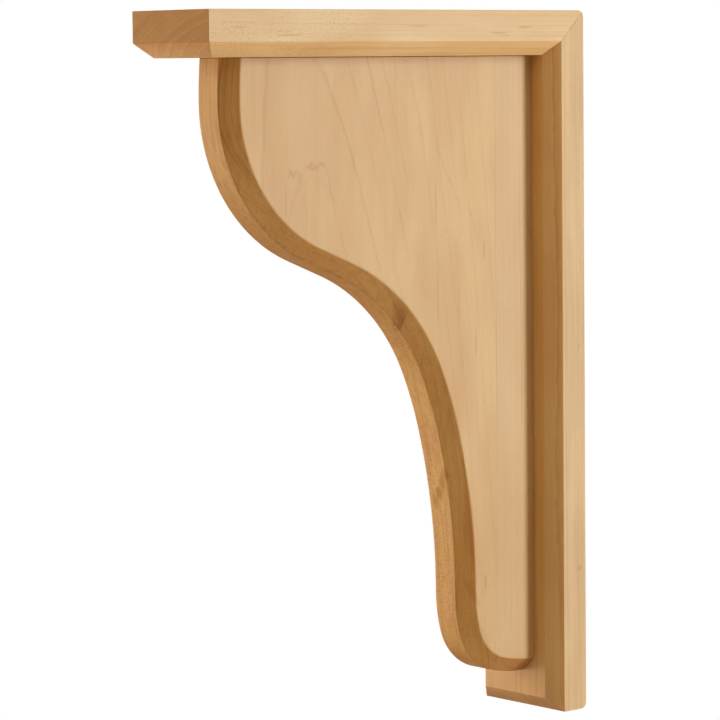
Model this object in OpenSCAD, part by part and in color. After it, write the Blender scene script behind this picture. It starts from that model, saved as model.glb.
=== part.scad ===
// Corbel bracket in solid maple: a flat top plate mitred to a flat back plate,
// and an ogee brace glued up from three boards that stands between them.
// The wall is the plane y = 0, the bracket reaches out along -Y, +Z is up and
// the origin is the middle of the back plate's flat back.

/* [Overall] */
// Width of both plates, across the bracket
width = 50.8; // [42:0.1:64]
// Height of the back plate against the wall
height = 304.8; // [250:0.1:400]
// Depth of the top plate, from the wall to its front end
depth = 203.2; // [168:0.1:245]

/* [Plates] */
// Thickness of the stock in both plates
plate_t = 19.05; // [14:0.05:24]
// Width of the 45 degree chamfers on the plates, measured along each face
plate_chamfer = 6; // [2:0.5:10]
// Radius of the back plate's upper and lower rear corners
rear_round = 3; // [1:0.5:6]

/* [Brace] */
// Thickness of the brace's boards
brace_t = 25.4; // [20:0.1:34]
// Width of the chamfers that follow the brace's curve, measured along each face
brace_chamfer = 6.3; // [2:0.1:8]
// From the top plate's front end back to the foremost point of the brace
brow_setback = 18.5; // [8:0.5:34]
// From the top plate's underside down to the foremost point of the brace
brow_drop = 18; // [10:0.5:24]
// From the wall to the front of the brace's narrow stem
stem_reach = 59.5; // [50:0.5:70]
// From the lower end of the back plate up to the underside of the brace
foot_clear = 17; // [8:0.5:36]
// Radius of the front corner of the brace's foot
foot_r = 26; // [16:0.5:30]
// Larger radius that eases the foot's corner in and out
foot_ease_r = 68; // [30:1:80]

/* [Glue lines] */
// From the wall to the seam between the rear and middle boards
rear_seam = 40.5; // [30:0.5:54]
// From the wall to the seam between the middle and front boards
front_seam = 89.5; // [72:0.5:110]

/* [Hidden] */
$fn = 96;

MAPLE_LONG = "#d9b88f";
MAPLE_UPRIGHT = "#dec29a";
MAPLE_FIGURED = "#d3ad82";
MAPLE_PLAIN = "#d6b48b";
MAPLE_PALE = "#d9b990";

top_z = height / 2;
end_z = -height / 2;
seat_z = top_z - plate_t;
foot_z = end_z + foot_clear;
spare = 10;
facet_angle = 2;

// The ogee, drawn downwards. Each heading is the angle between straight down
// and the way the curve runs, turned towards the wall.
steepest = 68;
hollow_heading = 24.5;
tail_heading = 15;
foot_ease = 15;
swell_r = 200;
// Shape of the upper part of the S, at any scale: brow, slope, deep hollow
brow = 71;
slope = 19;
hollow = 83;
// Shape of the lower part of the S, at any scale: shallow hollow, tail
shallow = 162;
tail = 276;

// How far the foot's corner reaches along the stem, and along the underside
foot_corner = foot_ease_r * (1 - cos(foot_ease) + sin(foot_ease))
            + foot_r * (cos(foot_ease) - sin(foot_ease));

// Distances out and down that the S covers
run_out = depth - brow_setback - stem_reach;
run_down = seat_z - brow_drop - (foot_z + foot_corner);
// What each part of the shape covers out and down, at scale 1
upper_out = brow * (1 - cos(steepest)) + slope * sin(steepest)
          + hollow * (cos(hollow_heading) - cos(steepest));
upper_down = brow * sin(steepest) + slope * cos(steepest)
           + hollow * (sin(steepest) - sin(hollow_heading));
lower_out = shallow * (cos(tail_heading) - cos(hollow_heading)) + tail * (1 - cos(tail_heading));
lower_down = shallow * (sin(hollow_heading) - sin(tail_heading)) + tail * sin(tail_heading);
// The two scales at which the whole S lands on the stem and the foot
both = upper_out * lower_down - lower_out * upper_down;
upper_scale = (run_out * lower_down - run_down * lower_out) / both;
lower_scale = (upper_out * run_down - upper_down * run_out) / both;

// Steps of the curve, each [radius, heading at its end], or [length] where straight
START_LEAN = -asin(brow_drop / swell_r) - 3;
STEPS = [
    [swell_r, 0],
    [brow * upper_scale, steepest],
    [slope * upper_scale],
    [hollow * upper_scale, hollow_heading],
    [shallow * lower_scale, tail_heading],
    [tail * lower_scale, 0],
    [foot_ease_r, foot_ease],
    [foot_r, 90 - foot_ease],
    [foot_ease_r, 90],
    [stem_reach - foot_corner],
];
// The first step of the foot
foot_step = 6;

// Unit vectors in the (y, z) plane: along a heading, and square to it into the wood
function along(h) = [sin(h), -cos(h)];
function inward(h) = [cos(h), sin(h)];

function is_straight(step) = len(step) == 1;
// +1 where a step curls round the wood, -1 where it curls away from it
function side(step, h) = step[1] > h ? 1 : -1;
function centre(p, h, step) = p + side(step, h) * step[0] * inward(h);
function next_heading(h, step) = is_straight(step) ? h : step[1];
function next_point(p, h, step) =
    is_straight(step) ? p + step[0] * along(h)
                      : centre(p, h, step) - side(step, h) * step[0] * inward(step[1]);

// The curve starts above the seat, so that the seat's plane trims it
brow_point = [brow_setback - depth, seat_z - brow_drop];
start_point = brow_point + swell_r * [1, 0] - swell_r * inward(START_LEAN);
HEADINGS = [for (i = 0, h = START_LEAN; i <= len(STEPS);
                 h = i < len(STEPS) ? next_heading(h, STEPS[i]) : h, i = i + 1) h];
POINTS = [for (i = 0, p = start_point; i <= len(STEPS);
               p = i < len(STEPS) ? next_point(p, HEADINGS[i], STEPS[i]) : p, i = i + 1) p];

// Stands a shape drawn in (y, z), and raised along its own z, across the bracket
module across() { rotate([90, 0, 90]) children(); }

// ---- plates ----

// Section of a plate across its length: two of its long arrises are chamfered
module plate_section() {
    polygon([
        [-width / 2, 0], [width / 2, 0],
        [width / 2, plate_chamfer - plate_t], [width / 2 - plate_chamfer, -plate_t],
        [plate_chamfer - width / 2, -plate_t], [-width / 2, plate_chamfer - plate_t],
    ]);
}

// What rounding takes off a corner of the wall side, drawn for an upper corner
module rear_corner_waste() {
    difference() {
        translate([-rear_round, -rear_round]) square(rear_round + spare);
        translate([-rear_round, -rear_round]) circle(rear_round);
    }
}

module top_plate() {
    color(MAPLE_LONG) translate([0, 0, top_z]) intersection() {
        across() linear_extrude(width, center = true) difference() {
            polygon([
                [0, 0], [-plate_t, -plate_t], [plate_chamfer - depth, -plate_t],
                [-depth, plate_chamfer - plate_t], [-depth, 0],
            ]);
            rear_corner_waste();
        }
        rotate([90, 0, 0]) linear_extrude(depth) plate_section();
    }
}

module back_plate() {
    color(MAPLE_UPRIGHT) translate([0, 0, top_z]) intersection() {
        across() linear_extrude(width, center = true) difference() {
            polygon([
                [0, 0], [0, -height], [plate_chamfer - plate_t, -height],
                [-plate_t, plate_chamfer - height], [-plate_t, -plate_t],
            ]);
            rear_corner_waste();
            translate([0, -height]) mirror([0, 1]) rear_corner_waste();
        }
        translate([0, 0, -height]) linear_extrude(height) plate_section();
    }
}

// ---- ogee brace ----

// A place on the curve is a number: whole part for the step, fraction along it
function step_of(place) = min(floor(place), len(STEPS) - 1);
function edge_point(place, inset) =
    let (i = step_of(place), t = place - i, p = POINTS[i], h = HEADINGS[i], step = STEPS[i])
    is_straight(step) ? p + t * step[0] * along(h) + inset * inward(h)
    : let (turned = h + t * (step[1] - h))
      centre(p, h, step) + (inset - side(step, h) * step[0]) * inward(turned);

// The place between two others where the curve, cut back into the wood, meets a level of y or z
function meeting(axis, level, inset, low, high, rounds = 40) =
    let (middle = (low + high) / 2,
         same = (edge_point(middle, inset)[axis] - level) * (edge_point(low, inset)[axis] - level) > 0)
    rounds == 0 ? middle
    : same ? meeting(axis, level, inset, middle, high, rounds - 1)
    : meeting(axis, level, inset, low, middle, rounds - 1);
function at_seat(inset) = meeting(1, seat_z, inset, 0, 1);
function at_distance(from_wall, inset) = meeting(0, -from_wall, inset, 1, len(STEPS));

PLACES = [
    for (i = [0:len(STEPS) - 1])
        let (facets = is_straight(STEPS[i]) ? 1 : ceil(abs(STEPS[i][1] - HEADINGS[i]) / facet_angle))
        each [for (k = [0:facets - 1]) i + k / facets],
];

// Each ring of a board is [how far across the bracket, how far cut back into the wood]
RINGS = [
    [-brace_t / 2, brace_chamfer], [brace_chamfer - brace_t / 2, 0],
    [brace_t / 2 - brace_chamfer, 0], [brace_t / 2, brace_chamfer],
];

// A board of the brace. Its edge runs down the curve between two places, each a pair with and
// without the chamfer's inset, below any corner above them. Level rungs join every point of
// the edge above the foot to the board's straight rear edge.
module board(starts, ends, from_wall, above = []) {
    between = [for (place = PLACES) if (place > max(starts) && place < min(ends)) place];
    edge_count = len(above) + len(between) + 2;
    rungs = len(above) + len([for (place = [max(starts), each between]) if (place <= foot_step) place]);
    n = edge_count + rungs;
    last = (len(RINGS) - 1) * n;
    polyhedron(
        points = [
            for (ring = RINGS)
                let (k = ring[1] > 0 ? 0 : 1,
                     places = [starts[k], each between, ends[k]],
                     edge = [each above, for (place = places) edge_point(place, ring[1])])
                each [
                    for (p = edge) [ring[0], p[0], p[1]],
                    for (i = [rungs - 1:-1:0]) [ring[0], -from_wall, edge[i][1]],
                ],
        ],
        faces = [
            for (i = [0:1:rungs - 2]) [i, i + 1, n - 2 - i, n - 1 - i],
            [for (i = [rungs - 1:edge_count]) i],
            for (r = [0:len(RINGS) - 2], i = [0:n - 1])
                [r * n + i, (r + 1) * n + i, (r + 1) * n + (i + 1) % n, r * n + (i + 1) % n],
            for (i = [0:1:rungs - 2]) [last + n - 1 - i, last + n - 2 - i, last + i + 1, last + i],
            [for (i = [edge_count:-1:rungs - 1]) last + i],
        ]
    );
}

function both_insets(from_wall) = [at_distance(from_wall, brace_chamfer), at_distance(from_wall, 0)];

module brace_front_board() {
    color(MAPLE_FIGURED)
        board([at_seat(brace_chamfer), at_seat(0)], both_insets(front_seam), front_seam);
}

module brace_middle_board() {
    color(MAPLE_PLAIN)
        board(both_insets(front_seam), both_insets(rear_seam), rear_seam, [[-front_seam, seat_z]]);
}

module brace_rear_board() {
    color(MAPLE_PALE)
        board(both_insets(rear_seam), both_insets(plate_t), plate_t, [[-rear_seam, seat_z]]);
}

top_plate();
back_plate();
brace_front_board();
brace_middle_board();
brace_rear_board();
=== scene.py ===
"""A solid maple shelf bracket: two mitred plates and an ogee brace glued up from three boards."""

import logging
import math
from dataclasses import dataclass, field
from enum import Enum
from typing import Callable

import bmesh
import bpy
from mathutils import Matrix, Vector


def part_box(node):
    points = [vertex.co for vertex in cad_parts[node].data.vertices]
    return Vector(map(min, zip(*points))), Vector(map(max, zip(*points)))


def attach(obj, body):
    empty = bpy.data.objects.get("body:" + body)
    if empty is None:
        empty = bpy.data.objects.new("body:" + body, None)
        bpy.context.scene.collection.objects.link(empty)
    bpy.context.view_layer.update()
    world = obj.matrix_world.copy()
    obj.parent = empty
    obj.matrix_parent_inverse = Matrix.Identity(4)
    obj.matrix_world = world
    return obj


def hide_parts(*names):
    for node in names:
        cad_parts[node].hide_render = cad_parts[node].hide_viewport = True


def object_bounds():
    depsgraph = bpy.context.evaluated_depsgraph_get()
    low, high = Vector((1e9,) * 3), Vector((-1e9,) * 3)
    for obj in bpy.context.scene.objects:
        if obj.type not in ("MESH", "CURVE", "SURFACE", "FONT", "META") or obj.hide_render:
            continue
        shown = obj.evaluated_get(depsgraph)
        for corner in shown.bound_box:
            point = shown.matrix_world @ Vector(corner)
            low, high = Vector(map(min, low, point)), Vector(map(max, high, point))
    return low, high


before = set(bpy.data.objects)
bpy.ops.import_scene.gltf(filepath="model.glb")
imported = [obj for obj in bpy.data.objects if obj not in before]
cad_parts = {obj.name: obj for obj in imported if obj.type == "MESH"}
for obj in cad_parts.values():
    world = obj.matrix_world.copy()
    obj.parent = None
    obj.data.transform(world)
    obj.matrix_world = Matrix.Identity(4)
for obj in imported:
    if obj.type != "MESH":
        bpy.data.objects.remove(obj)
cad_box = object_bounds()

log = logging.getLogger("bracket")

MM = 0.001
NEAR = 0.01 * MM
Y, Z = 1, 2
COLOUR_MIX_INPUTS = (0, 6, 7)
COLOUR_MIX_OUTPUT = 2
Socket = bpy.types.NodeSocket
Tint = tuple[float, float, float]
Lengths = tuple[float, float, float]
Inputs = tuple[object, ...] | dict[str | int, object]
Test = Callable[[list[Vector]], bool]


def sin_cos(angle: float) -> tuple[float, float]:
    """Gives the sine and the cosine of an angle in degrees."""
    return math.sin(math.radians(angle)), math.cos(math.radians(angle))


def near(value: float, goal: float) -> bool:
    """Says whether two lengths are the same to a hundredth of a millimetre."""
    return abs(value - goal) < NEAR


def lies_at(axis: int, place: float) -> Test:
    """Makes a test for what lies wholly at one place along an axis."""
    return lambda places: all(near(point[axis], place) for point in places)


# ------------ hand tools


class Part(Enum):
    """What a selection is made of."""

    CORNER = "VERT"
    EDGE = "EDGE"


class Workpiece:
    """One piece of timber on the bench, shaped in edit mode."""

    def __init__(self, timber: bpy.types.Object) -> None:
        """Takes hold of a piece.

        Args:
            timber: the mesh object to shape.
        """
        bpy.ops.object.select_all(action="DESELECT")
        timber.select_set(True)
        bpy.context.view_layer.objects.active = timber
        self.timber = timber

    @classmethod
    def block(cls, name: str, low: Vector, high: Vector) -> "Workpiece":
        """Saws a rectangular block.

        Args:
            name: the name of the new piece.
            low: its lowest corner.
            high: its highest corner.

        Returns:
            The block, ready to shape.
        """
        bpy.ops.mesh.primitive_cube_add(size=1, location=(low + high) / 2)
        bpy.context.object.scale = high - low
        return cls._named(name)

    @classmethod
    def slip(cls, name: str, middle: Vector, tilt: float, size: tuple[float, float]) -> "Workpiece":
        """Lays a flat rectangular slip, tilted about the X axis.

        Args:
            name: the name of the new piece.
            middle: the middle of the slip.
            tilt: how far it is turned about X, in radians.
            size: its width along X and its other width.

        Returns:
            The slip, ready to shape.
        """
        bpy.ops.mesh.primitive_plane_add(size=1, location=middle, rotation=(tilt, 0, 0))
        bpy.context.object.scale = (*size, 1)
        return cls._named(name)

    @classmethod
    def _named(cls, name: str) -> "Workpiece":
        """Names the newest primitive and puts its place into its mesh."""
        timber = bpy.context.object
        timber.name = timber.data.name = name
        bpy.ops.object.transform_apply(location=True, rotation=True, scale=True)
        return cls(timber)

    def copy(self, name: str) -> "Workpiece":
        """Copies the piece, with a mesh of its own, under another name."""
        twin = self.timber.copy()
        twin.data = self.timber.data.copy()
        twin.name = twin.data.name = name
        bpy.context.scene.collection.objects.link(twin)
        return Workpiece(twin)

    def open(self) -> None:
        """Goes into edit mode."""
        bpy.ops.object.mode_set(mode="EDIT")

    def close(self) -> None:
        """Comes back to object mode."""
        bpy.ops.object.mode_set(mode="OBJECT")

    def select_all(self) -> None:
        """Selects the whole mesh."""
        bpy.ops.mesh.select_all(action="SELECT")

    def select(self, part: Part, test: Test, open_only: bool = False) -> None:
        """Selects what passes a test of its place.

        Args:
            part: corners or edges.
            test: takes the places of an item's corners.
            open_only: whether to pass over edges that two faces already share.
        """
        mesh = self._deselect(part)
        for item in mesh.verts if part is Part.CORNER else mesh.edges:
            corners = [item] if part is Part.CORNER else item.verts
            if test([corner.co for corner in corners]) and not (open_only and item.is_manifold):
                item.select_set(True)
        self._keep_selection(mesh)

    def select_arrises(self, sharpest: float, spare: Test) -> None:
        """Selects the sharp edges between faces, apart from some.

        Args:
            sharpest: the smallest turn between two faces that counts, in degrees.
            spare: says which edges stay as they are.
        """
        mesh = self._deselect(Part.EDGE)
        mesh.normal_update()
        for edge in mesh.edges:
            sharp = edge.is_manifold and edge.calc_face_angle(0) >= math.radians(sharpest)
            if sharp and not spare([corner.co for corner in edge.verts]):
                edge.select_set(True)
        self._keep_selection(mesh)

    def _deselect(self, part: Part) -> bmesh.types.BMesh:
        """Picks the kind of item to select, with none selected yet, and opens the mesh."""
        bpy.ops.mesh.select_mode(type=part.value)
        bpy.ops.mesh.select_all(action="DESELECT")
        return bmesh.from_edit_mesh(self.timber.data)

    def _keep_selection(self, mesh: bmesh.types.BMesh) -> None:
        """Hands the selection back to edit mode."""
        mesh.select_flush_mode()
        bmesh.update_edit_mesh(self.timber.data)

    def plane_off(self, point: Vector, outward: Vector) -> None:
        """Cuts the piece along a plane, drops what lies outside and closes the cut.

        Args:
            point: a point on the plane.
            outward: the way to the waste side.
        """
        self.select_all()
        bpy.ops.mesh.bisect(
            plane_co=point, plane_no=outward, use_fill=True, clear_outer=True, threshold=NEAR
        )

    def bevel(self, width: float, segments: int = 1) -> None:
        """Bevels the selected edges, flat with one segment and rounded with more."""
        bpy.ops.mesh.bevel(
            offset_type="OFFSET", offset=width, segments=segments, profile=0.5, affect="EDGES"
        )

    def bevel_corners(self, width: float) -> None:
        """Cuts the selected corners off flat."""
        bpy.ops.mesh.bevel(offset=width, affect="VERTICES")

    def spin(self, centre: Vector, turn: float, steps: int) -> None:
        """Sweeps the selected edges round a centre, about the X axis. The operator turns backwards."""
        bpy.ops.mesh.spin(steps=steps, angle=-turn, center=centre, axis=(1, 0, 0))

    def draw_out(self, by: Vector) -> None:
        """Extrudes the selected edges straight along a vector."""
        bpy.ops.mesh.extrude_edges_move(TRANSFORM_OT_translate={"value": by})

    def draw_out_to(self, wall_y: float) -> None:
        """Extrudes the selected edges level, as far as an upright plane across Y."""
        bpy.ops.mesh.extrude_edges_move(TRANSFORM_OT_translate={"value": (0, 0, 0)})
        bpy.ops.transform.resize(value=(1, 0, 1), center_override=(0, wall_y, 0))

    def smooth_curves(self, sharpest: float) -> None:
        """Shades the gentle turns smooth and leaves the rest crisp."""
        bpy.ops.object.shade_smooth_by_angle(angle=math.radians(sharpest))


# ------------ maple


class Cut(Enum):
    """How a board lies in the bracket: the axes along its grain, across its face, through it."""

    BRACE_BOARD = ("Z", "Y", "X")
    BACK_PLATE = ("Z", "X", "Y")
    TOP_PLATE = ("Y", "X", "Z")


@dataclass(frozen=True)
class Noise:
    """A noise in a board: its size across, through and along it in millimetres, and its kind."""

    size: Lengths
    detail: float
    roughness: float = 0.5


@dataclass(frozen=True)
class Ramp:
    """A smooth rise: where it starts and ends, and the values before and after it."""

    start: float
    end: float
    low: float = 0.0
    high: float = 1.0


class Recipe:
    """Builds the node tree of a material or of the world."""

    def __init__(self, owner: bpy.types.Material | bpy.types.World) -> None:
        """Starts with an empty tree."""
        owner.use_nodes = True
        self.owner, self.tree = owner, owner.node_tree
        self.tree.nodes.clear()

    def node(self, kind: str, inputs: Inputs = (), **settings: object) -> bpy.types.Node:
        """Adds a node with its settings, and feeds its inputs in order or by name.

        Args:
            kind: the kind of node.
            inputs: what its inputs are linked to or set to.
            settings: its other settings.

        Returns:
            The new node.
        """
        made = self.tree.nodes.new(kind)
        for key, value in settings.items():
            setattr(made, key, value)
        named = inputs if isinstance(inputs, dict) else dict(enumerate(inputs))
        for key, value in named.items():
            if isinstance(value, bpy.types.NodeSocket):
                self.tree.links.new(value, made.inputs[key])
            else:
                made.inputs[key].default_value = value
        return made

    def math(self, operation: str, *values: object) -> Socket:
        """Adds a Math node."""
        return self.node("ShaderNodeMath", values, operation=operation).outputs[0]

    def fold(self, operation: str, values: tuple[object, ...]) -> Socket:
        """Joins two or more values with one operation, from the left."""
        result, *rest = values
        for value in rest:
            result = self.math(operation, result, value)
        return result

    def total(self, *values: object) -> Socket:
        """Adds up two or more values."""
        return self.fold("ADD", values)

    def product(self, *values: object) -> Socket:
        """Multiplies two or more values."""
        return self.fold("MULTIPLY", values)

    def largest(self, *values: object) -> Socket:
        """Takes the largest of the values."""
        return self.fold("MAXIMUM", values)

    def gap(self, value: object, goal: object) -> Socket:
        """Takes one value from another."""
        return self.math("SUBTRACT", value, goal)

    def either_way(self, noise: Socket, swing: float) -> Socket:
        """Centres a noise on zero and stretches it."""
        return self.math("MULTIPLY_ADD", noise, swing, -swing / 2)

    def vector(self, x: object, y: object, z: object) -> Socket:
        """Joins three values into a vector."""
        return self.node("ShaderNodeCombineXYZ", (x, y, z)).outputs[0]

    def parts(self, vector: Socket, axes: tuple[str, str, str]) -> tuple[Socket, Socket, Socket]:
        """Takes a vector apart, with its axes in the order asked for."""
        outputs = self.node("ShaderNodeSeparateXYZ", (vector,)).outputs
        return tuple(outputs[axis] for axis in axes)

    def noise(self, place: Socket, noise: Noise) -> Socket:
        """Adds a Noise Texture, which gives about 0.5 on average."""
        sized = self.node("ShaderNodeVectorMath", (place, noise.size), operation="DIVIDE").outputs[0]
        inputs = {"Vector": sized, "Scale": 1.0, "Detail": noise.detail, "Roughness": noise.roughness}
        return self.node("ShaderNodeTexNoise", inputs, noise_dimensions="3D").outputs[0]

    def line_noise(self, value: Socket) -> Socket:
        """Adds a Noise Texture along one number."""
        inputs = {"W": value, "Scale": 1.0, "Detail": 1.0}
        return self.node("ShaderNodeTexNoise", inputs, noise_dimensions="1D").outputs[0]

    def chance(self, value: Socket) -> Socket:
        """Turns each whole number into a steady random one between 0 and 1."""
        return self.node("ShaderNodeTexWhiteNoise", {"W": value}, noise_dimensions="1D").outputs[0]

    def rise(self, value: Socket, ramp: Ramp) -> Socket:
        """Rises smoothly from low to high while a value goes from start to end."""
        inputs = (value, ramp.start, ramp.end, ramp.low, ramp.high)
        return self.node("ShaderNodeMapRange", inputs, interpolation_type="SMOOTHSTEP").outputs[0]

    def blend(self, share: object, first: object, second: object, mode: str = "MIX") -> Socket:
        """Mixes two colours.

        Args:
            share: how much of the second colour to take, from 0 to 1.
            first: a colour, as a socket or a tint.
            second: another one.
            mode: how they are mixed.

        Returns:
            The mixed colour.
        """
        colours = ((*each, 1) if isinstance(each, tuple) else each for each in (first, second))
        inputs = dict(zip(COLOUR_MIX_INPUTS, (share, *colours)))
        made = self.node("ShaderNodeMix", inputs, data_type="RGBA", blend_type=mode)
        return made.outputs[COLOUR_MIX_OUTPUT]

    def show(self, surface: Socket, output: str = "ShaderNodeOutputMaterial") -> None:
        """Ends the tree with what is seen."""
        self.node(output, {"Surface": surface})

    def show_white(self, lit: bpy.types.Node, white: bpy.types.Node, output: str) -> None:
        """Ends the tree with white for the camera and another shader for the light it throws."""
        seen = self.node("ShaderNodeLightPath").outputs["Is Camera Ray"]
        mix = self.node("ShaderNodeMixShader", (seen, lit.outputs[0], white.outputs[0]))
        self.show(mix.outputs[0], output)


class Stain(Enum):
    """What colours a marked place, with the colour that it tends to."""

    GUM = (0.47, 0.150, 0.004)
    OCHRE = (0.44, 0.170, 0.003)
    MINERAL = (0.30, 0.125, 0.018)
    HEART = (0.24, 0.082, 0.008)


@dataclass(frozen=True)
class Mark:
    """A coloured place in a board: a streak, a stain or a patch of curl, in millimetres.

    It is a spindle along the grain. With a great depth it runs right through the board.
    """

    across: float
    along: float
    width: float
    length: float
    tone: float
    through: float = 0.0
    depth: float = 1000.0
    slant: float = 0.0


@dataclass(frozen=True)
class Grain:
    """What all the boards share: the size of each part of their figure, and how it shows.

    Each ramp turns the noise or the place that it is named after into a strength.
    """

    fibre: Noise = Noise((0.32, 0.32, 9.0), 3.0, 0.6)
    fibre_tone: Ramp = Ramp(0.25, 0.75, 0.975, 1.022)
    strand: Noise = Noise((1.9, 1.9, 60.0), 3.0, 0.55)
    strand_warmth: Ramp = Ramp(0.35, 0.7, -0.04, 0.05)
    strand_on_edge: Ramp = Ramp(0.42, 0.72, 0.0, 0.22)
    strand_gloss: Ramp = Ramp(0.3, 0.7, 0.49, 0.53)
    cloud: Noise = Noise((17.0, 17.0, 44.0), 1.0, 0.4)
    cloud_warmth: Ramp = Ramp(0.34, 0.66, 0.0, 0.55)
    pore: Noise = Noise((0.40, 0.40, 1.1), 1.0)
    pore_open: Ramp = Ramp(0.58, 0.74)
    pore_tone: float = 0.12

    ring_bend: Noise = Noise((38.0, 38.0, 150.0), 1.0)
    ring_ripple: Noise = Noise((4.0, 4.0, 14.0), 3.0, 0.6)
    ring_swing: float = 4.0
    ring_drift: float = 0.9
    ring_unevenness: float = 0.7
    ring_break: Noise = Noise((9.0, 9.0, 45.0), 2.0)
    ring_broken: Ramp = Ramp(0.32, 0.62, 0.35, 1.0)
    ring_weight: Ramp = Ramp(0.0, 1.0, 0.4, 1.0)
    latewood_starts: Ramp = Ramp(0.86, 0.955)
    latewood_ends: Ramp = Ramp(0.965, 1.0, 1.0, 0.0)
    shade: float = 0.30
    shade_steepness: float = 5.0
    fine_rings: float = 2.6
    fine_starts: Ramp = Ramp(0.45, 0.90, 0.0, 0.34)
    fine_ends: Ramp = Ramp(0.92, 1.0, 1.0, 0.0)

    fleck_shows: Ramp = Ramp(0.50, 0.70)
    fleck_patch: Noise = Noise((22.0, 14.0, 26.0), 1.0)
    fleck_patchy: Ramp = Ramp(0.36, 0.62, 0.45, 1.0)
    flecks_on_face: float = 0.22
    flecks_on_edge: float = 0.78

    ring_warmth: float = 0.05
    end_ring_warmth: float = 0.85
    edge_lines: float = 0.30
    chamfer_lines: float = 0.35
    end_lines: float = 0.45

    end_grain_face: Ramp = Ramp(0.32, 0.92)
    edge_face: Ramp = Ramp(0.62, 0.97, 1.0, 0.0)
    chamfer_face: Ramp = Ramp(0.3, 0.65)

    mark_ragged: Noise = Noise((2.2, 2.2, 3.5), 2.0)
    mark_fray: float = 0.9
    mark_fray_along: float = 7.0
    mark_starts: float = 0.1
    mark_ends: float = 1.3
    glue_line: Ramp = Ramp(0.10, 0.35, 0.35, 0.0)

    fibre_relief: float = 0.7
    strand_relief: float = 0.3
    fleck_relief: float = -0.25
    relief_strength: float = 0.22
    relief_height: float = 0.05 * MM
    end_roughness: float = 0.26
    refraction: float = 1.5
    specular: float = 0.6


class BoardRecipe(Recipe):
    """A recipe that knows its place in a board, in millimetres across, through and along it."""

    def __init__(self, name: str, cut: Cut) -> None:
        """Starts a material and reads the place.

        Args:
            name: the name of the material.
            cut: how the board lies.
        """
        super().__init__(bpy.data.materials.new(name))
        metres = self.node("ShaderNodeTexCoord").outputs["Object"]
        scaled = self.node("ShaderNodeVectorMath", {0: metres, "Scale": 1 / MM}, operation="SCALE")
        self.along, self.across, self.through = self.parts(scaled.outputs[0], cut.value)
        self.place = self.vector(self.across, self.through, self.along)


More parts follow.
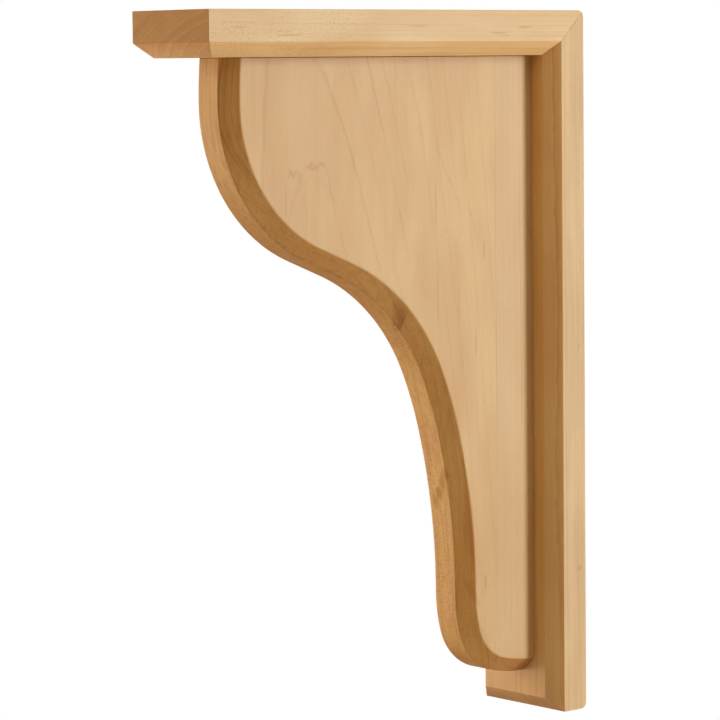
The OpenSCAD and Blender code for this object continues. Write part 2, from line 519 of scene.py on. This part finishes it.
@dataclass(frozen=True)
class Maple:
    """Hard maple as one board shows it. Lengths are in millimetres.

    The rings are shells round a leaning pith outside the board, the rays run out from it, and
    the fibres run along the grain, so that each face shows its own side of the same wood.
    The edge and chamfer tints are painted light and shade: they make those faces lighter or
    darker than the broad face, by which way they face.
    """

    name: str
    pith: tuple[float, float]
    lean: tuple[float, float]
    first_ring: float
    ring: float
    ray_turn: float
    cut: Cut = Cut.BRACE_BOARD
    pale: Tint = (0.66, 0.347, 0.112)
    warm: Tint = (0.605, 0.287, 0.078)
    latewood: Tint = (0.46, 0.155, 0.004)
    dark: Tint = (0.24, 0.082, 0.008)
    wobble: float = 0.45
    raggedness: float = 0.18
    line_strength: float = 0.38
    edge_figure: float = 1.0
    # The edge and chamfer tints below are painted light and shade: they lighten the faces off the
    # broad face, with a painted sheen, and darken or lighten the chamfers.
    edge_painted_light: Tint = (1.12, 1.10, 0.98)
    chamfer_painted_light_and_shade: Tint = (0.95, 0.82, 0.57)
    end_tint: Tint = (0.74, 0.65, 0.52)
    sawn: float = 0.14
    flecks: float = 0.35
    fleck: Noise = Noise((1.7, 0.30, 0.75), 1.0, 0.4)
    fleck_fade: Ramp = Ramp(400.0, 500.0, 1.0, 0.08)
    marks: dict[Stain, tuple[Mark, ...]] = field(default_factory=dict)
    seams: tuple[float, ...] = ()
    grain: Grain = Grain()

    def material(self) -> bpy.types.Material:
        """Builds the material.

        Returns:
            The finished material.
        """
        r, g = BoardRecipe(self.name, self.cut), self.grain
        end_grain, off_face, chamfer = self._cut_faces(r)
        edge = r.product(off_face, self.edge_figure)
        fibre = r.noise(r.place, g.fibre)
        strand = r.noise(r.place, g.strand)
        flecks = self._flecks(r)

        colour = self._figure(r, (end_grain, edge, chamfer), strand, flecks)
        colour = self._stains(r, fibre, colour)
        colour = r.blend(r.product(edge, r.rise(strand, g.strand_on_edge)), colour, self.dark)
        fibre_tone = r.rise(fibre, g.fibre_tone)
        colour = r.blend(1.0, colour, r.vector(fibre_tone, fibre_tone, fibre_tone), "MULTIPLY")
        # Painted light and shade: the edge and chamfer tints lighten or darken faces by which way they
        # face; the end tint is the end grain's own colour.
        for share, tint in (
            (off_face, self.edge_painted_light), (chamfer, self.chamfer_painted_light_and_shade), (end_grain, self.end_tint)
        ):
            colour = r.blend(share, colour, r.blend(1.0, colour, tint, "MULTIPLY"))

        relief = r.total(
            r.product(fibre, g.fibre_relief), r.product(strand, g.strand_relief),
            r.product(flecks, g.fleck_relief),
        )
        bump = r.node("ShaderNodeBump", {
            "Strength": g.relief_strength, "Distance": g.relief_height, "Height": relief,
        })
        roughness = r.total(
            r.rise(strand, g.strand_gloss), r.product(off_face, self.sawn),
            r.product(end_grain, g.end_roughness),
        )
        wood = r.node("ShaderNodeBsdfPrincipled", {
            "Base Color": colour, "Roughness": roughness, "Normal": bump.outputs[0],
            "IOR": g.refraction, "Specular IOR Level": g.specular,
        })
        r.show(wood.outputs[0])
        return r.owner

    def _cut_faces(self, r: BoardRecipe) -> tuple[Socket, Socket, Socket]:
        """Tells the faces of the board apart by their normal.

        Args:
            r: the recipe to add to.

        Returns:
            How squarely a face cuts the fibres, how far it is from the board's broad face, and
            whether it is a chamfer of that face, all from 0 to 1.
        """
        normal = r.parts(r.node("ShaderNodeTexCoord").outputs["Normal"], self.cut.value)
        along, _, through = (r.math("ABSOLUTE", part) for part in normal)
        off_face = r.rise(through, self.grain.edge_face)
        chamfer = r.product(off_face, r.rise(through, self.grain.chamfer_face))
        return r.rise(along, self.grain.end_grain_face), off_face, chamfer

    def _figure(
        self, r: BoardRecipe, faces: tuple[Socket, Socket, Socket], strand: Socket, flecks: Socket
    ) -> Socket:
        """Colours the clear wood: its warmth, rings, rays and pores.

        Args:
            r: the recipe to add to.
            faces: how much a face is end grain, edge and chamfer.
            strand: the noise of the strands.
            flecks: how much ray shows.

        Returns:
            The colour.
        """
        g = self.grain
        end_grain, edge, chamfer = faces
        ring_place = self._ring_place(r)
        ring_tone = r.chance(r.math("FLOOR", ring_place))
        warmth = r.total(
            r.rise(r.noise(r.place, g.cloud), g.cloud_warmth),
            r.rise(strand, g.strand_warmth),
            r.product(ring_tone, r.total(g.ring_warmth, r.product(end_grain, g.end_ring_warmth))),
        )
        lines = r.total(
            self.line_strength,
            r.product(edge, r.total(g.edge_lines, r.product(chamfer, g.chamfer_lines))),
            r.product(end_grain, g.end_lines),
        )
        ray_share = r.total(g.flecks_on_face, r.product(edge, g.flecks_on_edge))
        pores = r.rise(r.noise(r.place, g.pore), g.pore_open)
        colour = r.blend(warmth, self.pale, self.warm)
        for share, tint in (
            (r.product(self._ring_line(r, ring_place), lines), self.latewood),
            (r.product(self._fine_line(r, ring_place), edge), self.dark),
            (r.product(flecks, ray_share, self.flecks), self.latewood),
            (r.product(pores, g.pore_tone), self.latewood),
        ):
            colour = r.blend(share, colour, tint)
        return colour

    def _ring_place(self, r: BoardRecipe) -> Socket:
        """Counts rings outwards from the pith.

        Args:
            r: the recipe to add to.

        Returns:
            The number of rings from the first ring, with its fraction.
        """
        g = self.grain
        sides = [
            r.gap(side, r.math("MULTIPLY_ADD", r.along, lean, start))
            for side, start, lean in zip((r.across, r.through), self.pith, self.lean)
        ]
        radius = r.math("SQRT", r.total(*(r.product(side, side) for side in sides)))
        sway = r.total(
            r.either_way(r.noise(r.place, g.ring_bend), g.ring_swing * self.wobble),
            r.either_way(r.noise(r.place, g.ring_ripple), g.ring_swing * self.raggedness),
        )
        count = r.math("DIVIDE", r.gap(r.total(radius, sway), self.first_ring), self.ring)
        uneven = r.line_noise(r.product(count, g.ring_drift))
        return r.total(count, r.either_way(uneven, g.ring_unevenness))

    def _ring_line(self, r: BoardRecipe, ring_place: Socket) -> Socket:
        """Draws each ring's thin dark latewood line, with a soft shade before it.

        Args:
            r: the recipe to add to.
            ring_place: rings counted outwards.

        Returns:
            How much latewood shows, from 0 to 1.
        """
        g = self.grain
        part = r.math("FRACT", ring_place)
        core = r.product(r.rise(part, g.latewood_starts), r.rise(part, g.latewood_ends))
        shade = r.product(r.math("POWER", part, g.shade_steepness), g.shade)
        weight = r.rise(r.chance(r.math("FLOOR", ring_place)), g.ring_weight)
        broken = r.rise(r.noise(r.place, g.ring_break), g.ring_broken)
        return r.product(r.largest(core, shade), weight, broken)

    def _fine_line(self, r: BoardRecipe, ring_place: Socket) -> Socket:
        """Draws the finer bands within each ring, which show where the rings are cut through.

        Args:
            r: the recipe to add to.
            ring_place: rings counted outwards.

        Returns:
            How much of the bands shows, from 0 to 1.
        """
        g = self.grain
        fine_place = r.product(ring_place, g.fine_rings)
        part = r.math("FRACT", fine_place)
        weight = r.chance(r.math("FLOOR", fine_place))
        return r.product(r.rise(part, g.fine_starts), r.rise(part, g.fine_ends), weight)

    def _flecks(self, r: BoardRecipe) -> Socket:
        """Scatters the rays: thin plates that run out from the pith.

        Args:
            r: the recipe to add to.

        Returns:
            How much ray shows, from 0 to 1.
        """
        g = self.grain
        sin, cos = sin_cos(self.ray_turn)
        outward = r.total(r.product(r.across, cos), r.product(r.through, sin))
        sideways = r.total(r.product(r.across, -sin), r.product(r.through, cos))
        turned = r.vector(outward, sideways, r.along)
        rays = r.rise(r.noise(turned, self.fleck), g.fleck_shows)
        patches = r.rise(r.noise(turned, g.fleck_patch), g.fleck_patchy)
        return r.product(rays, r.product(patches, r.rise(r.along, self.fleck_fade)))

    def _stains(self, r: BoardRecipe, fibre: Socket, colour: Socket) -> Socket:
        """Lays the marks, one kind after another, and the glue lines.

        Args:
            r: the recipe to add to.
            fibre: the fine fibre noise, which frays the marks.
            colour: the colour of the clear wood.

        Returns:
            The colour of the marked wood.
        """
        for stain, marks in self.marks.items():
            colour = r.blend(r.largest(*self._mark_tones(r, fibre, marks)), colour, stain.value)
        for seam in self.seams:
            away = r.math("ABSOLUTE", r.gap(r.across, seam))
            colour = r.blend(r.rise(away, self.grain.glue_line), colour, self.dark)
        return colour

    def _mark_tones(self, r: BoardRecipe, fibre: Socket, marks: tuple[Mark, ...]) -> list[Socket]:
        """Works out how strongly some marks show.

        Args:
            r: the recipe to add to.
            fibre: the fine fibre noise, which frays the marks.
            marks: the marks to lay.

        Returns:
            The strength of each mark, from 0 to 1.
        """
        g = self.grain
        ragged = r.noise(r.place, g.mark_ragged)
        across = r.total(r.across, r.either_way(fibre, g.mark_fray))
        along = r.total(r.along, r.either_way(ragged, g.mark_fray_along))
        tones = []
        for mark in marks:
            off = r.gap(along, mark.along)
            aside = r.gap(r.gap(across, mark.across), r.product(off, mark.slant))
            deep = r.gap(r.through, mark.through)
            reaches = ((aside, mark.width), (off, mark.length), (deep, mark.depth))
            shares = [r.math("DIVIDE", reach, size / 2) for reach, size in reaches]
            away = r.total(*(r.product(share, share) for share in shares))
            tones.append(r.rise(away, Ramp(g.mark_starts, g.mark_ends, mark.tone, 0.0)))
        return tones


# ------------ plates


@dataclass
class Plates:
    """The top plate and the back plate, mitred together at the wall."""

    chamfer: float = 6 * MM
    rear_round: float = 3 * MM
    round_steps: int = 8
    arris: float = 0.22 * MM
    arris_steps: int = 3
    mitre_arris: float = 0.10 * MM
    sharp_angle: float = 30
    smooth_angle: float = 12

    def build(self, body: str) -> None:
        """Makes and dresses both plates.

        Args:
            body: the body that they ride on.
        """
        high = cad_box[1]
        at_wall, at_shelf = lies_at(Y, high.y), lies_at(Z, high.z)
        top = self._plate(
            "maple_top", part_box("top_plate")[0], (Z, Y),
            lambda ends: at_wall(ends) and at_shelf(ends), Vector((0, 1, -1)),
        )
        dress(top, "top_plate", body, TOP_MAPLE)
        back = self._plate(
            "maple_back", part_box("back_plate")[0], (Y, Z),
            lambda ends: at_wall(ends) and near(ends[0].z, ends[1].z), Vector((0, -1, 1)),
        )
        dress(back, "back_plate", body, BACK_MAPLE)

    def _plate(
        self, name: str, low: Vector, axes: tuple[int, int], rounded: Test, outward: Vector
    ) -> Workpiece:
        """Shapes one plate.

        Args:
            name: the name of the plate.
            low: its lowest corner.
            axes: the axis through the plate and the axis along it.
            rounded: says which edges are rounded at the wall.
            outward: the way to the waste side of the mitre.

        Returns:
            The plate.
        """
        high = cad_box[1]
        inside, at_end = (lies_at(axis, low[axis]) for axis in axes)
        plate = Workpiece.block(name, low, high)
        plate.open()
        plate.select(Part.EDGE, rounded)
        plate.bevel(self.rear_round, self.round_steps)
        plate.select(
            Part.EDGE,
            lambda ends: inside(ends)
            and (near(abs(ends[0].x + ends[1].x), 2 * high.x) or at_end(ends)),
        )
        plate.bevel(self.chamfer)

        corner = Vector((0, high.y, high.z))
        plate.plane_off(corner, outward)

        def on_mitre(ends: list[Vector]) -> bool:
            """Says whether an edge lies in the mitre."""
            return all(near((point - corner).dot(outward), 0) for point in ends)

        plate.select_arrises(self.sharp_angle, on_mitre)
        plate.bevel(self.arris, self.arris_steps)
        plate.select(Part.EDGE, on_mitre)
        plate.bevel(self.mitre_arris)
        plate.close()
        plate.smooth_curves(self.smooth_angle)
        return plate


# ------------ ogee brace


@dataclass(frozen=True)
class Step:
    """One step of the ogee: an arc to a heading in degrees, or a straight run."""

    size: float
    heading: float | None = None


@dataclass
class Ogee:
    """The curve of the brace's front, drawn downwards from the top plate.

    A heading is the angle between straight down and the way the curve runs, turned
    towards the wall.
    """

    brow_drop: float = 18 * MM
    stem_reach: float = 59.5 * MM
    foot_r: float = 26 * MM
    foot_ease_r: float = 68 * MM
    foot_ease: float = 15
    swell_r: float = 200 * MM
    brow: float = 71 * MM
    steepest: float = 68
    slope: float = 19 * MM
    hollow: float = 83 * MM
    hollow_heading: float = 24.5
    shallow: float = 162 * MM
    tail_heading: float = 15
    tail: float = 276 * MM
    lead_in: float = 3

    def foot_corner(self) -> float:
        """Says how far the foot's corner reaches along the stem and along the underside."""
        sin, cos = sin_cos(self.foot_ease)
        return self.foot_ease_r * (1 - cos + sin) + self.foot_r * (cos - sin)

    def steps(self, front_y: float, seat_z: float, foot_z: float) -> list[Step]:
        """Works out the steps, with the S scaled to land on the stem and the foot.

        Args:
            front_y: the foremost place of the brace.
            seat_z: the height of its seat under the top plate.
            foot_z: the height of its underside.

        Returns:
            The steps from the swell under the top plate to the underside.
        """
        out = -front_y - self.stem_reach
        down = seat_z - self.brow_drop - (foot_z + self.foot_corner())
        sin_s, cos_s = sin_cos(self.steepest)
        sin_h, cos_h = sin_cos(self.hollow_heading)
        sin_t, cos_t = sin_cos(self.tail_heading)
        upper_out = self.brow * (1 - cos_s) + self.slope * sin_s + self.hollow * (cos_h - cos_s)
        upper_down = self.brow * sin_s + self.slope * cos_s + self.hollow * (sin_s - sin_h)
        lower_out = self.shallow * (cos_t - cos_h) + self.tail * (1 - cos_t)
        lower_down = self.shallow * (sin_h - sin_t) + self.tail * sin_t
        both = upper_out * lower_down - lower_out * upper_down
        upper = (out * lower_down - down * lower_out) / both
        lower = (upper_out * down - upper_down * out) / both
        return [
            Step(self.swell_r, 0),
            Step(self.brow * upper, self.steepest),
            Step(self.slope * upper),
            Step(self.hollow * upper, self.hollow_heading),
            Step(self.shallow * lower, self.tail_heading),
            Step(self.tail * lower, 0),
            Step(self.foot_ease_r, self.foot_ease),
            Step(self.foot_r, 90 - self.foot_ease),
            Step(self.foot_ease_r, 90),
        ]

    def start_heading(self) -> float:
        """Gives the heading at which the curve starts, a little above the seat."""
        return -math.degrees(math.asin(self.brow_drop / self.swell_r)) - self.lead_in


@dataclass
class Brace:
    """The ogee brace, edge-glued from three boards with upright grain."""

    chamfer: float = 6.3 * MM
    arris: float = 0.45 * MM
    arris_steps: int = 3
    seat_arris: float = 0.30 * MM
    facet_angle: float = 1.5
    sharp_angle: float = 30
    smooth_angle: float = 5
    curve: Ogee = field(default_factory=Ogee)

    def __post_init__(self) -> None:
        """Reads where the brace stands: its front, seat, half width, rear and foot."""
        low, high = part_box("brace_front_board")
        self.front_y, self.seat_z, self.half = low.y, high.z, high.x
        low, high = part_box("brace_rear_board")
        self.rear_y, self.foot_z = high.y, low.z

    def build(self, body: str) -> None:
        """Makes the brace whole, then parts it into its three boards and dresses them.

        Args:
            body: the body that they ride on.
        """
        whole = self._rim()
        self._sides(whole)
        whole.plane_off(Vector((0, 0, self.seat_z)), Vector((0, 0, 1)))
        self._ease(whole)
        whole.close()
        for node, maple in BOARDS.items():
            low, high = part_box(node)
            board = whole.copy(maple.name.removesuffix("_maple"))
            board.open()
            for seam_y, end_y, way in ((low.y, self.front_y, -1), (high.y, self.rear_y, 1)):
                if not near(seam_y, end_y):
                    board.plane_off(Vector((0, seam_y, 0)), Vector((0, way, 0)))
            board.close()
            board.smooth_curves(self.smooth_angle)
            dress(board, node, body, maple)
        bpy.data.objects.remove(whole.timber)

    def _rim(self) -> Workpiece:
        """Sweeps the chamfered section of the rim down the curve.

        Returns:
            The open rim, in edit mode.
        """
        heading = self.curve.start_heading()
        facing = inward(heading)
        start = Vector((0, self.front_y, self.seat_z - self.curve.brow_drop))
        start += self.curve.swell_r * (Vector((0, 1, 0)) - facing)
        width, deep = 2 * self.half, 2 * self.chamfer
        rim = Workpiece.slip(
            "brace", start + self.chamfer * facing, math.radians(heading), (width, deep)
        )
        rim.open()
        rim.select(Part.CORNER, lambda places: near((places[0] - start).dot(facing), 0))
        rim.bevel_corners(self.chamfer)
        rim.select(Part.EDGE, lambda ends: all(near((p - start).dot(facing), deep) for p in ends))
        bpy.ops.mesh.delete(type="EDGE")
        bpy.ops.mesh.select_mode(type="EDGE")
        rim.select_all()
        self._sweep(rim, start, heading)
        return rim

    def _sweep(self, rim: Workpiece, start: Vector, heading: float) -> None:
        """Draws the selected section along the steps of the curve, and on to the rear.

        Args:
            rim: the piece, with its section selected.
            start: where the curve starts.
            heading: the heading at which it starts, in degrees.
        """
        point = start
        for step in self.curve.steps(self.front_y, self.seat_z, self.foot_z):
            if step.heading is None:
                run = step.size * along(heading)
                rim.draw_out(run)
                point = point + run
                continue
            turn = step.heading - heading
            radius = math.copysign(step.size, turn)
            centre = point + radius * inward(heading)
            rim.spin(centre, math.radians(turn), math.ceil(abs(turn) / self.facet_angle))
            heading = step.heading
            point = centre - radius * inward(heading)
        rim.draw_out(Vector((0, self.rear_y - point.y, 0)))

    def _sides(self, brace: Workpiece) -> None:
        """Closes the rim with two flat sides, a top and a rear.

        Args:
            brace: the open rim.
        """
        top_z = self.seat_z + 2 * self.chamfer
        rim_z = self.foot_z + 2 * self.chamfer
        nearly_level = self.chamfer / 4
        at_top, at_rear = lies_at(Z, top_z), lies_at(Y, self.rear_y)
        brace.select(
            Part.EDGE,
            lambda ends: min(p.z for p in ends) > self.seat_z
            and abs(ends[0].z - ends[1].z) < nearly_level,
            open_only=True,
        )
        bpy.ops.transform.resize(value=(1, 1, 0), center_override=(0, 0, top_z))
        brace.select(
            Part.EDGE,
            lambda ends: all(near(abs(p.x), self.half) for p in ends)
            and abs(ends[0].z - ends[1].z) > NEAR
            and not at_rear(ends)
            and max(p.z for p in ends) > rim_z + NEAR,
            open_only=True,
        )
        brace.draw_out_to(self.rear_y)
        brace.select_all()
        bpy.ops.mesh.remove_doubles(threshold=NEAR)
        brace.select(Part.CORNER, lambda places: at_top(places) and at_rear(places))
        bpy.ops.mesh.edge_face_add()
        for opening in (at_top, at_rear):
            brace.select(Part.EDGE, opening, open_only=True)
            bpy.ops.mesh.edge_face_add()
        brace.select_all()
        bpy.ops.mesh.normals_make_consistent(inside=False)

    def _ease(self, brace: Workpiece) -> None:
        """Eases the arrises of the curve, and very slightly those against the plates.

        Args:
            brace: the closed brace, in edit mode.
        """
        in_seat, at_rear = lies_at(Z, self.seat_z), lies_at(Y, self.rear_y)

        def against_a_plate(ends: list[Vector]) -> bool:
            """Says whether an edge lies in the seat or in the rear."""
            return in_seat(ends) or at_rear(ends)

        brace.select_arrises(self.sharp_angle, against_a_plate)
        brace.bevel(self.arris, self.arris_steps)
        brace.select(Part.EDGE, against_a_plate)
        brace.bevel(self.seat_arris)


def along(heading: float) -> Vector:
    """Gives the unit vector along a heading in degrees."""
    sin, cos = sin_cos(heading)
    return Vector((0, sin, -cos))


def inward(heading: float) -> Vector:
    """Gives the unit vector square to a heading in degrees, into the wood."""
    sin, cos = sin_cos(heading)
    return Vector((0, cos, sin))


def dress(piece: Workpiece, node: str, body: str, maple: Maple) -> None:
    """Gives a finished piece its wood, its body and its place in the record.

    Args:
        piece: the finished piece.
        node: the CAD node that it stands for.
        body: the body that it rides on.
        maple: its wood.
    """
    timber = piece.timber
    timber.data.materials.clear()
    timber.data.materials.append(maple.material())
    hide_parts(node)
    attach(timber, body)
    log.info("%s: %d faces", timber.name, len(timber.data.polygons))


TOP_MAPLE = Maple(
    name="top_maple",
    cut=Cut.TOP_PLATE,
    pith=(46.5, 48.0),
    lean=(0.010, -0.006),
    first_ring=60.0,
    ring=2.2,
    ray_turn=102.0,
    pale=(0.755, 0.446, 0.188),
    warm=(0.68, 0.360, 0.122),
    edge_figure=0.12,
    edge_painted_light=(1.0, 1.0, 1.0),
    # Painted light: the top plate's chamfers are tinted lighter.
    chamfer_painted_light_and_shade=(1.14, 1.08, 1.02),
    end_tint=(0.73, 0.56, 0.29),
    sawn=0.0,
    line_strength=0.45,
    flecks=1.7,
    fleck=Noise((0.6, 0.40, 0.8), 1.0, 0.4),
    fleck_fade=Ramp(-170.0, -90.0, 1.0, 0.08),
    marks={
        Stain.GUM: (
            Mark(25.4, -187.7, 9.0, 9.0, 0.35, through=145.3, depth=0.9),
            Mark(25.4, -162.0, 9.0, 16.0, 0.5, through=142.0, depth=0.8),
            Mark(25.4, -164.0, 9.0, 9.0, 0.35, through=143.6, depth=0.6),
            Mark(25.4, -93.4, 9.0, 9.0, 0.35, through=145.7, depth=0.8),
            Mark(25.4, -50.0, 9.0, 11.0, 0.5, through=142.8, depth=0.9),
            Mark(25.4, -47.0, 9.0, 8.0, 0.35, through=141.6, depth=0.6),
            Mark(25.4, -34.3, 9.0, 9.0, 0.5, through=145.3, depth=0.8),
            Mark(22.6, -125.0, 1.4, 110.0, 0.22, through=136.6, depth=1.2),
            Mark(20.4, -70.0, 1.4, 90.0, 0.22, through=134.3, depth=1.2),
            Mark(24.2, -165.0, 1.2, 50.0, 0.20, through=138.2, depth=1.0),
        ),
    },
)
BACK_MAPLE = Maple(
    name="back_maple",
    cut=Cut.BACK_PLATE,
    pith=(-18.0, 46.0),
    lean=(0.02, 0.012),
    first_ring=30.0,
    ring=2.6,
    ray_turn=70.0,
    pale=(0.68, 0.355, 0.108),
    # Painted sheen and shade: the side faces are tinted paler and bluer, and the chamfers darker.
    edge_painted_light=(1.01, 1.08, 1.30),
    chamfer_painted_light_and_shade=(0.91, 0.78, 0.58),
    sawn=0.0,
    line_strength=0.7,
    edge_figure=0.42,
    flecks=0.22,
    marks={
        Stain.GUM: (
            Mark(25.4, 7.0, 9.0, 2.6, 0.5, through=-3.5, depth=1.1),
            Mark(25.4, -89.0, 9.0, 3.0, 0.5, through=-3.5, depth=2.6),
            Mark(25.4, -95.0, 9.0, 36.0, 0.32, through=-4.8, depth=0.9),
            Mark(25.4, -125.0, 9.0, 40.0, 0.32, through=-4.6, depth=0.9),
            Mark(4.0, -145.0, 1.2, 60.0, 0.34),
            Mark(9.5, -142.0, 1.0, 60.0, 0.28),
        ),
    },
)
FRONT_MAPLE = Maple(
    name="front_board_maple",
    pith=(-128.7, -62.5),
    lean=(-0.164, -0.055),
    first_ring=80.3,
    ring=3.74,
    ray_turn=100.0,
    line_strength=0.46,
    edge_figure=1.15,
    flecks=0.18,
    marks={
        Stain.GUM: (
            Mark(-166.0, 96.0, 56.0, 84.0, 0.10),
            Mark(-151.5, 86.0, 7.0, 3.4, 0.42),
            Mark(-147.8, 84.4, 4.5, 2.8, 0.34),
            Mark(-141.5, 88.4, 9.0, 3.4, 0.45),
            Mark(-136.4, 89.2, 5.0, 3.2, 0.38),
            Mark(-155.3, 74.0, 1.2, 24.0, 0.32),
            Mark(-131.5, 78.0, 1.1, 26.0, 0.24, slant=-0.24),
            Mark(-126.0, 58.0, 1.1, 24.0, 0.22, slant=-0.32),
        ),
        Stain.OCHRE: (
            Mark(-91.2, 26.0, 8.5, 20.0, 0.70, through=6.5, depth=16.0, slant=-0.42),
        ),
        Stain.HEART: (
            Mark(-90.6, 23.0, 5.0, 13.0, 0.45, through=6.0, depth=14.0, slant=-0.35),
        ),
    },
)
MIDDLE_MAPLE = Maple(
    name="middle_board_maple",
    pith=(-100.0, -48.0),
    lean=(-0.03, -0.06),
    first_ring=50.0,
    ring=3.3,
    ray_turn=90.0,
    pale=(0.67, 0.365, 0.124),
    # Painted light: the faces off the broad face are tinted lighter.
    edge_painted_light=(1.12, 1.10, 0.92),
    wobble=0.7,
    line_strength=0.26,
    flecks=0.70,
    marks={
        Stain.GUM: (
            Mark(-67.5, 83.0, 1.6, 34.0, 0.20, slant=-0.50),
            Mark(-54.0, 64.0, 1.3, 16.0, 0.20, slant=-0.30),
            Mark(-55.8, -68.0, 5.0, 46.0, 0.50, through=12.2, depth=4.6, slant=-0.10),
            Mark(-54.2, -97.0, 3.6, 17.0, 0.50, slant=-0.45),
            Mark(-50.0, -116.0, 8.0, 26.0, 0.34, slant=-0.45),
            Mark(-74.0, 0.0, 44.0, 130.0, 0.15),
            Mark(-52.0, -92.0, 44.0, 120.0, 0.20),
        ),
        Stain.OCHRE: (
            Mark(-64.0, -45.0, 9.0, 8.0, 0.8, through=5.6, depth=4.0),
            Mark(-64.0, -49.5, 9.0, 9.0, 0.9, through=3.2, depth=4.6),
            Mark(-63.0, -54.0, 9.0, 8.0, 1.0, through=0.4, depth=4.8),
            Mark(-63.0, -57.5, 9.0, 7.0, 0.8, through=-2.6, depth=4.6),
        ),
        Stain.MINERAL: (
            Mark(-74.4, 71.0, 0.8, 24.0, 0.38),
            Mark(-73.7, 31.0, 0.7, 26.0, 0.34),
            Mark(-61.8, 28.0, 0.7, 16.0, 0.32),
            Mark(-47.2, 51.0, 0.9, 12.0, 0.40),
            Mark(-52.2, 11.0, 0.8, 17.0, 0.35),
            Mark(-47.6, -93.0, 1.0, 8.0, 0.50),
        ),
    },
)
REAR_MAPLE = Maple(
    name="rear_board_maple",
    pith=(35.0, -48.0),
    lean=(0.01, 0.01),
    first_ring=60.0,
    ring=2.4,
    ray_turn=140.0,
    pale=(0.645, 0.358, 0.132),
    warm=(0.60, 0.305, 0.096),
    seams=(-40.5,),
    marks={
        Stain.GUM: (
            Mark(-32.8, -100.0, 0.8, 56.0, 0.30, slant=-0.02),
            Mark(-30.0, -95.0, 40.0, 130.0, 0.15),
        ),
    },
)
BOARDS = {
    "brace_front_board": FRONT_MAPLE,
    "brace_middle_board": MIDDLE_MAPLE,
    "brace_rear_board": REAR_MAPLE,
}


# ------------ studio


@dataclass(frozen=True)
class Softbox:
    """A large soft light, aimed at the bracket: its place in degrees and metres, and its light."""

    name: str
    azimuth: float
    elevation: float
    distance: float
    size: tuple[float, float]
    power: float
    colour: Tint

    def build(self, target: Vector) -> None:
        """Hangs the light.

        Args:
            target: the point that it faces.
        """
        lamp = bpy.data.lights.new(self.name, "AREA")
        lamp.shape = "RECTANGLE"
        lamp.size, lamp.size_y = self.size
        lamp.energy = self.power
        lamp.color = self.colour
        stand = bpy.data.objects.new(self.name, lamp)
        bpy.context.scene.collection.objects.link(stand)
        stand.visible_camera = False
        away = direction(self.azimuth, self.elevation)
        stand.location = target + self.distance * away
        stand.rotation_euler = away.to_track_quat("Z", "Y").to_euler()


@dataclass(frozen=True)
class Tripod:
    """The camera: its place in metres, its turns in degrees, and its lens and film in millimetres."""

    place: tuple[float, float, float] = (1.0616, -0.9950, 0.1287)
    turn: float = 50.068
    tip: float = 84.95
    roll: float = -0.591
    lens: float = 165.3
    film: float = 36

    def build(self) -> None:
        """Sets up the camera, front right of the bracket and a little above its middle."""
        lens = bpy.data.cameras.new("camera")
        lens.lens, lens.sensor_width = self.lens, self.film
        camera = bpy.data.objects.new("camera", lens)
        bpy.context.scene.collection.objects.link(camera)
        turns = ((self.turn, "Z"), (self.tip, "X"), (self.roll, "Z"))
        turn, tip, roll = (Matrix.Rotation(math.radians(angle), 4, axis) for angle, axis in turns)
        camera.matrix_world = Matrix.Translation(self.place) @ turn @ tip @ roll
        bpy.context.scene.camera = camera


@dataclass
class Studio:
    """The floor, the surround, the lights and the camera."""

    floor_drop: float = 0.40
    floor_radius: float = 6.0
    floor_sides: int = 96
    paper: Tint = (0.95, 0.95, 0.95)
    surround: float = 0.03
    surround_tint: Tint = (1.0, 0.97, 0.92)
    softboxes: tuple[Softbox, ...] = (
        Softbox("right_softbox", 126, 7, 1.6, (0.5, 1.4), 23.8, (0.815, 0.94, 1.0)),
        Softbox("left_softbox", -68, 4, 1.6, (1.1, 1.4), 30.3, (1.0, 0.915, 0.72)),
        Softbox("high_softbox", 45, 45, 1.6, (1.1, 1.4), 8.5, (1.0, 0.94, 0.75)),
    )
    tripod: Tripod = Tripod()

    def build(self) -> None:
        """Sets up the studio round the bracket."""
        low, high = cad_box
        self._floor(low.z - self.floor_drop)
        self._surround()
        for softbox in self.softboxes:
            softbox.build((low + high) / 2)
        self.tripod.build()

    def _floor(self, height: float) -> None:
        """Lays a plain pale floor, which looks white and throws light back.

        Args:
            height: its height.
        """
        bpy.ops.mesh.primitive_circle_add(
            vertices=self.floor_sides, radius=self.floor_radius, fill_type="NGON",
            location=(0, 0, height),
        )
        floor = bpy.context.object
        floor.name = "floor"
        r = Recipe(bpy.data.materials.new("pale_floor"))
        paper = r.node("ShaderNodeBsdfDiffuse", {"Color": (*self.paper, 1)})
        r.show_white(paper, r.node("ShaderNodeEmission"), "ShaderNodeOutputMaterial")
        floor.data.materials.append(r.owner)

    def _surround(self) -> None:
        """Surrounds the set with white that lights it only softly."""
        world = bpy.data.worlds.new("surround")
        bpy.context.scene.world = world
        r = Recipe(world)
        glow = r.node("ShaderNodeBackground", {
            "Color": (*self.surround_tint, 1), "Strength": self.surround,
        })
        white = r.node("ShaderNodeBackground", {"Color": (1, 1, 1, 1)})
        r.show_white(glow, white, "ShaderNodeOutputWorld")


def direction(azimuth: float, elevation: float) -> Vector:
    """Gives the unit vector towards a compass place: azimuth 0 is in front, 90 is at +X."""
    (sin_a, cos_a), (sin_e, cos_e) = sin_cos(azimuth), sin_cos(elevation)
    return Vector((sin_a * cos_e, -cos_a * cos_e, sin_e))


def main() -> None:
    """Builds the bracket and the studio."""
    logging.basicConfig(level=logging.INFO, format="%(message)s")
    body = "root"
    Plates().build(body)
    Brace().build(body)
    Studio().build()
    bpy.context.scene.view_settings.view_transform = "Standard"


if __name__ == "__main__":
    main()
